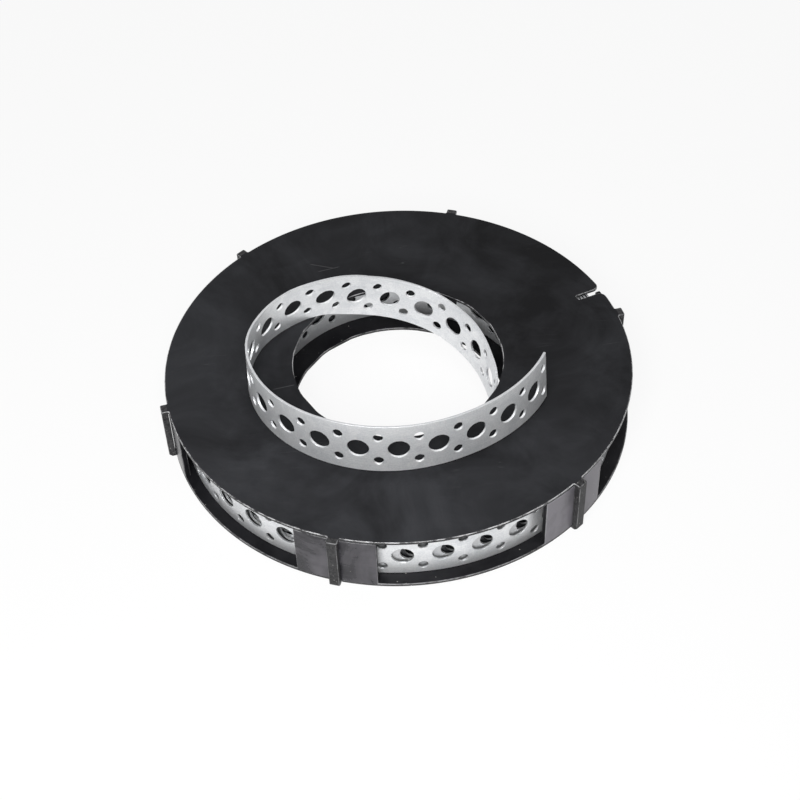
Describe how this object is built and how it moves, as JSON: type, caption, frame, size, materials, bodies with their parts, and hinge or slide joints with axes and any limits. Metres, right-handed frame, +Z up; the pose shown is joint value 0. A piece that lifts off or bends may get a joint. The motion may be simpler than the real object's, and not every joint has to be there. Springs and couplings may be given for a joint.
{
  "type": "perforated steel strap roll",
  "caption": "Roll of perforated galvanised steel strap in a flat round black dispenser case, its inner end drawn up through the centre hole and looped on the lid.",
  "frame": {"origin": "centre of the underside, on the floor, on the axis of the centre hole", "axes": "+Z up along the axis of the roll, -Y towards the viewer of the picture, +X to the right"},
  "size_m": [0.1648, 0.164, 0.0458],
  "materials": {
    "black_plastic": "satin",
    "galvanised_steel": "galvanised"
  },
  "bodies": {
    "root": {"case_base": "black_plastic", "case_lid": "black_plastic", "strap": "galvanised_steel"}
  },
  "joints": []
}
